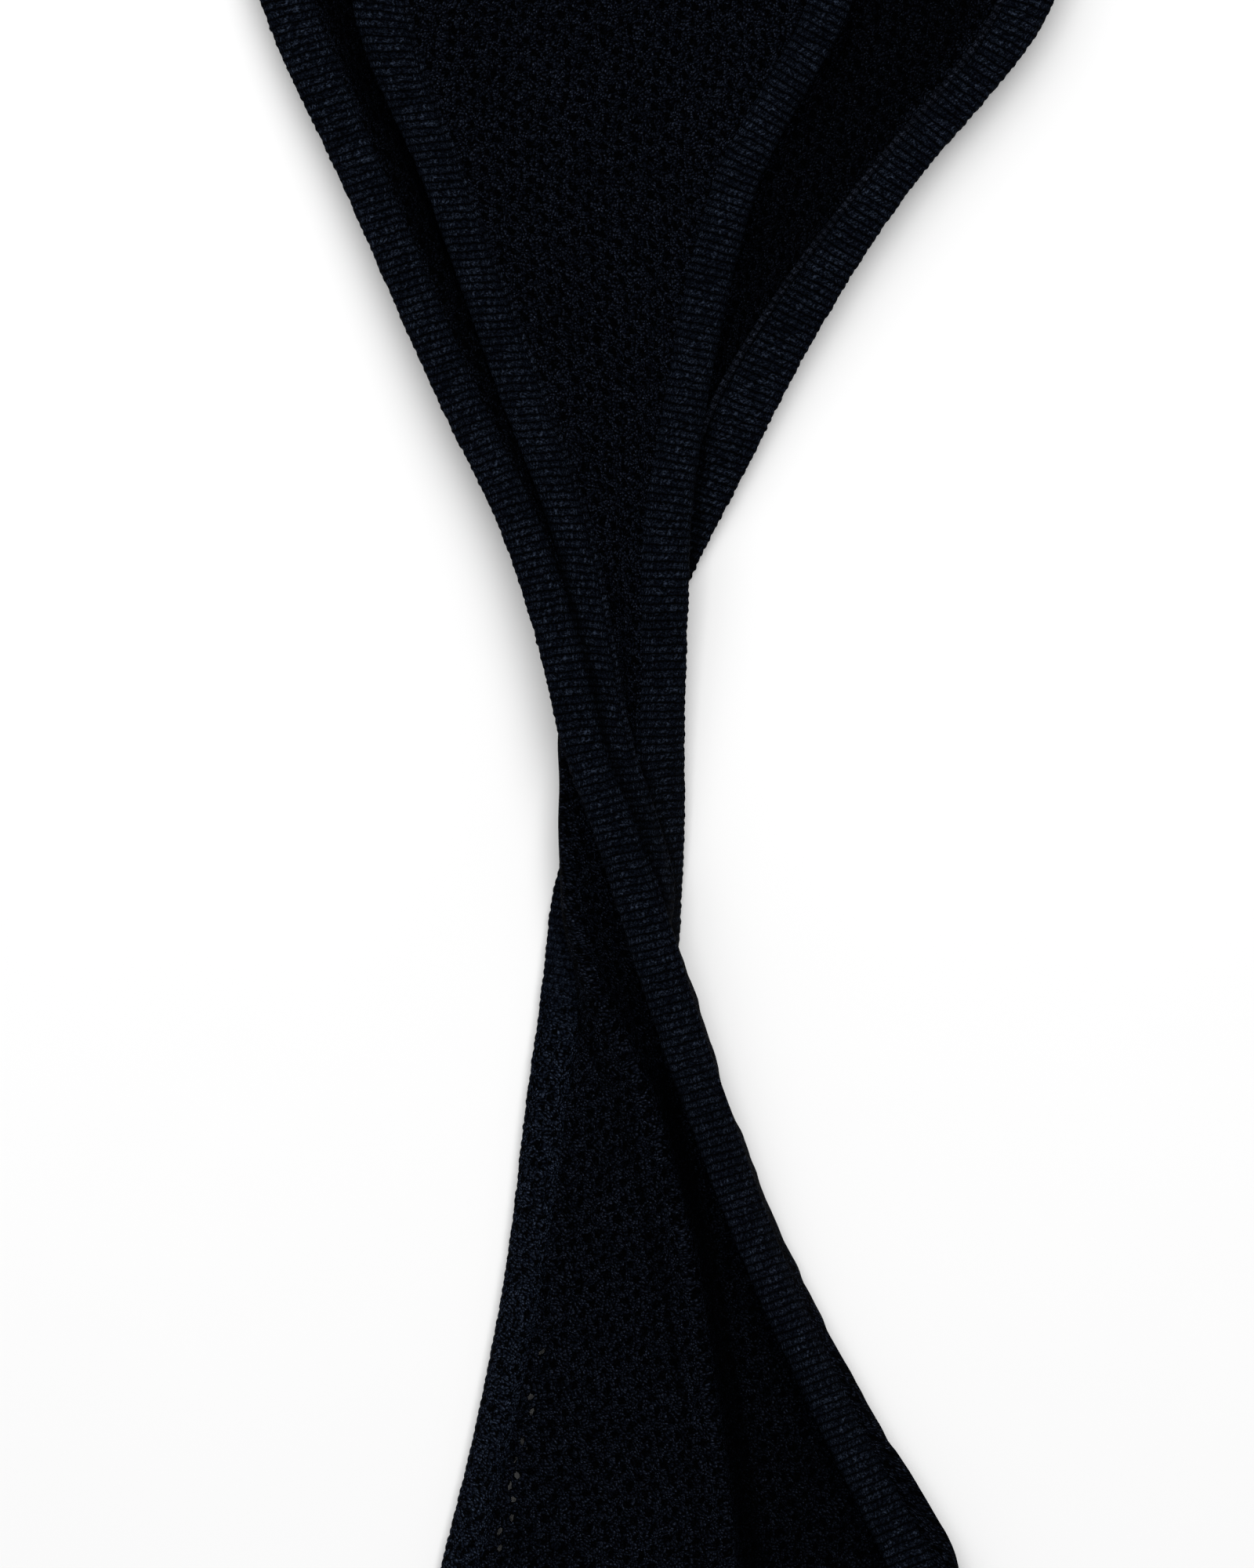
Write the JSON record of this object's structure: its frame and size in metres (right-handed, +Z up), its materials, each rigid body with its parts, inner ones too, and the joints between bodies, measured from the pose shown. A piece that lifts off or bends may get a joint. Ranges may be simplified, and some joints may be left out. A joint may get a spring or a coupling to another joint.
{
  "type": "necktie",
  "caption": "Openwork knitted necktie with plain-knit edge bands, folded at the neck, laid flat and given half a turn at a narrow gathered waist.",
  "frame": {"origin": "centre of the underside of the bounding box, on the table, half way between the neck fold and the tip of the blade", "axes": "+Y along the tie towards the tip of the blade, +Z up from the table, +X to the right as the tie is seen from above with the tip of the blade at the top"},
  "size_m": [0.094, 0.725, 0.009],
  "materials": {
    "band_knit": "plain fine-gauge knit, matt with a soft sheen",
    "mesh_knit": "openwork mesh knit, matt",
    "seam_thread": "twisted yarn, soft sheen",
    "keeper_weave": "plain woven tape, satin",
    "label_weave": "plain woven label with no mark, satin"
  },
  "bodies": {
    "root": {"blade_left_band": "band_knit", "blade_left_corner_tack": "seam_thread", "blade_left_linking_seam": "seam_thread", "blade_mesh_panel": "mesh_knit", "blade_neck_join_seam": "seam_thread", "blade_right_band": "band_knit", "blade_right_corner_tack": "seam_thread", "blade_right_linking_seam": "seam_thread", "blade_tip_hem": "band_knit", "blank_label": "label_weave", "keeper_left_tack": "seam_thread", "keeper_loop": "keeper_weave", "keeper_right_tack": "seam_thread", "neck_left_band": "band_knit", "neck_left_linking_seam": "seam_thread", "neck_panel": "mesh_knit", "neck_right_band": "band_knit", "neck_right_linking_seam": "seam_thread", "tail_left_band": "band_knit", "tail_left_corner_tack": "seam_thread", "tail_left_linking_seam": "seam_thread", "tail_mesh_panel": "mesh_knit", "tail_neck_join_seam": "seam_thread", "tail_right_band": "band_knit", "tail_right_corner_tack": "seam_thread", "tail_right_linking_seam": "seam_thread", "tail_tip_hem": "band_knit"}
  },
  "joints": []
}
